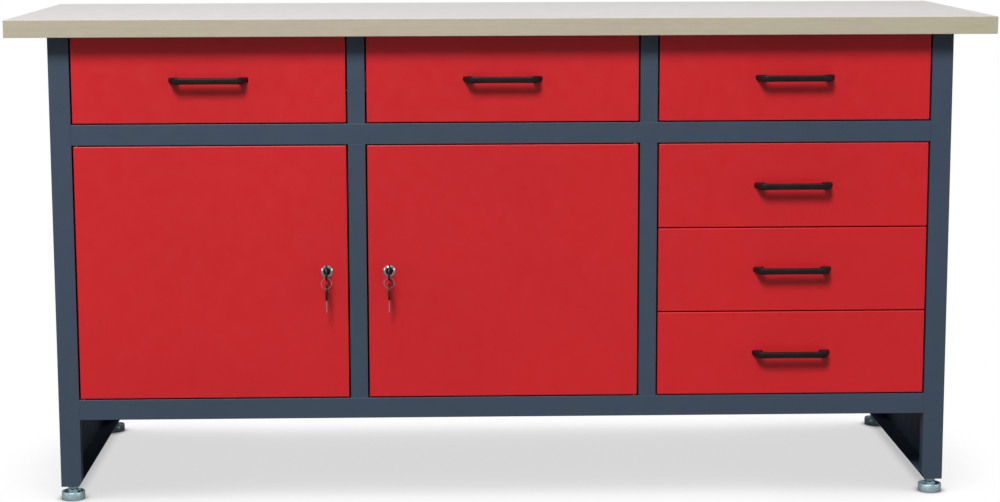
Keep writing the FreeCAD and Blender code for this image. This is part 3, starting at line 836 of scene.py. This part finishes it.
def make_lock_key(side, centre_x, centre_z):
    """The key in the lock, with its blade along +Y."""
    door = f"door_{side}"
    low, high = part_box(f"{door}_key")
    neck_y = low.y + HEAD_CENTRE + HEAD_RADIUS
    place = Matrix(
        ((0, 0, 1, centre_x), (0, -1, 0, neck_y), (1, 0, 0, centre_z), (0, 0, 0, 1))
    )
    length = high.y - neck_y
    for piece in make_key(f"{door}_turning_key", place, length, f"lock_{side}"):
        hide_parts(f"{door}_key")


def make_key_ring(side, centre_x):
    """The split ring on the key, and the spare key that hangs from it."""
    door = f"door_{side}"
    body = f"key_ring_{side}"
    low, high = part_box(f"{door}_key_ring")
    radius = (high.x - low.x) / 2 - CAD_RING_WIRE
    hoop = split_ring(f"{door}_split_ring", (low + high) / 2, radius, body)
    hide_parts(f"{door}_key_ring")

    low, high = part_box(f"{door}_spare_key")
    middle_y = (low.y + high.y) / 2
    neck_z = high.z - HEAD_CENTRE - HEAD_RADIUS
    place = Matrix(
        ((0, 0, -1, centre_x), (1, 0, 0, middle_y), (0, 1, 0, neck_z), (0, 0, 0, 1))
    )
    for piece in make_key(f"{door}_hanging_key", place, neck_z - low.z, body):
        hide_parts(f"{door}_spare_key")


# ---------------------------------------------------------------- stage and light

KEY_LIGHT_TARGET = Vector((0.0, -0.26, 0.6))
KEY_LIGHT_DIRECTION = Vector((0.27, 1.0, -1.0)).normalized()
KEY_LIGHT_DISTANCE = 9.0
KEY_LIGHT_SIZE = 2.9
KEY_LIGHT_POWER = 860
KEY_LIGHT_COLOR = (1.0, 0.985, 0.965)
REAR_LIGHT_PLACE = Vector((0.0, 2.2, 0.72))
REAR_LIGHT_DIRECTION = Vector((0.0, -1.0, -0.1))
REAR_LIGHT_SIZE = 0.24
REAR_LIGHT_POWER = 12
SKY_LOW = 0.0
SKY_HIGH = 0.56
SIDE_PANEL_GLOW = 1.5
SIDE_PANEL_X = 0.74
SIDE_PANEL_Y = -0.2
SIDE_PANEL_LOW = 0.02
SIDE_PANEL_HIGH = 0.42
FLOOR_HALF = 60.0
FLOOR_TONE = srgb(132, 132, 132)
# The shade under the bench and round the feet is painted shade: the floor's glow is dimmed
# where ambient occlusion finds something close above it.
SHADE_REACH = 0.34
SHADE_DEPTH = 0.68
CONTACT_REACH = 0.03
CONTACT_DEPTH = 0.05


def shade_from_above(paper, reach, dark, open_at, shut_at):
    """How bright the floor's glow stays where something stands within reach above it:
    painted shade, taken from ambient occlusion.
    """
    hidden = paper.node("ShaderNodeAmbientOcclusion", Distance=reach)
    hidden.samples = 24
    level = paper.node("ShaderNodeMapRange", To_Min=dark, To_Max=1.0)
    level.interpolation_type = "SMOOTHSTEP"
    level.inputs["From Min"].default_value = shut_at
    level.inputs["From Max"].default_value = open_at
    paper.join(hidden.outputs["AO"], level.inputs["Value"])
    return level.outputs["Result"]


def make_floor():
    """A wide pale floor: a white sweep to the eye, with painted shade under the bench and
    round the feet, dimmed into its glow by ambient occlusion.
    """
    mesh = bpy.data.meshes.new("floor")
    corners = [(-1, -1), (1, -1), (1, 1), (-1, 1)]
    verts = [(x * FLOOR_HALF, y * FLOOR_HALF, 0) for x, y in corners]
    mesh.from_pydata(verts, [], [[0, 1, 2, 3]])
    floor = bpy.data.objects.new("floor", mesh)
    scene.collection.objects.link(floor)
    paper = Material("floor_paper", 0.9)
    paper.shader.inputs["Specular IOR Level"].default_value = 0.1
    tone = paper.ramp(
        paper.noise(0.8, 3.0), [(0.3, scaled(FLOOR_TONE, 0.97)), (0.7, FLOOR_TONE)]
    )
    paper.color(tone)
    # Painted shade: the glow that the camera sees is darkened under the bench and, closer
    # in, round the feet.
    wide = shade_from_above(paper, SHADE_REACH, SHADE_DEPTH, 0.8, 0.3)
    close = shade_from_above(paper, CONTACT_REACH, CONTACT_DEPTH, 0.95, 0.3)
    both = paper.nodes.new("ShaderNodeMath")
    both.operation = "MULTIPLY"
    paper.join(wide, both.inputs[0])
    paper.join(close, both.inputs[1])
    glow = paper.nodes.new("ShaderNodeEmission")
    paper.join(both.outputs["Value"], glow.inputs["Strength"])
    seen = paper.nodes.new("ShaderNodeLightPath").outputs["Is Camera Ray"]
    chosen = paper.nodes.new("ShaderNodeMixShader")
    paper.join(seen, chosen.inputs["Fac"])
    paper.join(paper.shader.outputs["BSDF"], chosen.inputs[1])
    paper.join(glow.outputs["Emission"], chosen.inputs[2])
    paper.join(chosen.outputs["Shader"], paper.nodes["Material Output"].inputs["Surface"])
    mesh.materials.append(paper.data)


def make_lamp(name, place, direction, size, power, color, mirrored=True):
    """A round soft lamp at a place, which glossy surfaces may mirror or not."""
    data = bpy.data.lights.new(name, "AREA")
    data.shape = "DISK"
    data.size = size
    data.energy = power
    data.color = color
    lamp = bpy.data.objects.new(name, data)
    lamp.location = place
    lamp.rotation_euler = direction.to_track_quat("-Z", "Y").to_euler()
    lamp.visible_camera = False
    lamp.visible_glossy = mirrored
    scene.collection.objects.link(lamp)


def make_lights():
    """The key lamp in front, and a low lamp behind that lights only the back."""
    key_place = KEY_LIGHT_TARGET - KEY_LIGHT_DIRECTION * KEY_LIGHT_DISTANCE
    make_lamp(
        "key_light",
        key_place,
        KEY_LIGHT_DIRECTION,
        KEY_LIGHT_SIZE,
        KEY_LIGHT_POWER,
        KEY_LIGHT_COLOR,
    )
    make_lamp(
        "rear_light",
        REAR_LIGHT_PLACE,
        REAR_LIGHT_DIRECTION,
        REAR_LIGHT_SIZE,
        REAR_LIGHT_POWER,
        KEY_LIGHT_COLOR,
        mirrored=False,
    )


def make_sky():
    """White to the eye; as a light, dim low down and bright overhead.

    Two soft panels stand at the sides of it, for the plated metal to mirror.
    """
    world = bpy.data.worlds.new("studio")
    world.use_nodes = True
    scene.world = world
    nodes = world.node_tree.nodes
    links = world.node_tree.links
    background = nodes["Background"]
    background.inputs["Color"].default_value = (1, 1, 1, 1)

    def math_node(operation, first, second):
        made = nodes.new("ShaderNodeMath")
        made.operation = operation
        for socket, value in zip(made.inputs, (first, second)):
            if isinstance(value, float):
                socket.default_value = value
            else:
                links.new(value, socket)
        return made.outputs["Value"]

    direction = nodes.new("ShaderNodeTexCoord").outputs["Generated"]
    split = nodes.new("ShaderNodeSeparateXYZ")
    links.new(direction, split.inputs["Vector"])
    rise = nodes.new("ShaderNodeMapRange")
    rise.inputs["To Min"].default_value = SKY_LOW
    rise.inputs["To Max"].default_value = SKY_HIGH
    links.new(split.outputs["Z"], rise.inputs["Value"])
    sideways = math_node("ABSOLUTE", split.outputs["X"], 0.0)
    beside = math_node("GREATER_THAN", sideways, SIDE_PANEL_X)
    before = math_node("LESS_THAN", split.outputs["Y"], SIDE_PANEL_Y)
    above = math_node("GREATER_THAN", split.outputs["Z"], SIDE_PANEL_LOW)
    below = math_node("LESS_THAN", split.outputs["Z"], SIDE_PANEL_HIGH)
    panel = math_node("MULTIPLY", beside, before)
    panel = math_node("MULTIPLY", panel, above)
    panel = math_node("MULTIPLY", panel, below)
    panel = math_node("MULTIPLY", panel, SIDE_PANEL_GLOW)
    light = math_node("ADD", rise.outputs["Result"], panel)
    seen = nodes.new("ShaderNodeLightPath").outputs["Is Camera Ray"]
    strength = math_node("MAXIMUM", light, seen)
    links.new(strength, background.inputs["Strength"])
    scene.view_settings.view_transform = "Standard"


make_camera()
make_floor()
make_lights()
make_sky()
dress_frame()
for body_name in frame["bodies"]:
    if body_name.startswith("drawer_"):
        make_handle(body_name)
    if body_name.startswith("foot_"):
        make_foot(body_name)
for side_name in ("left", "centre"):
    make_lock(side_name)
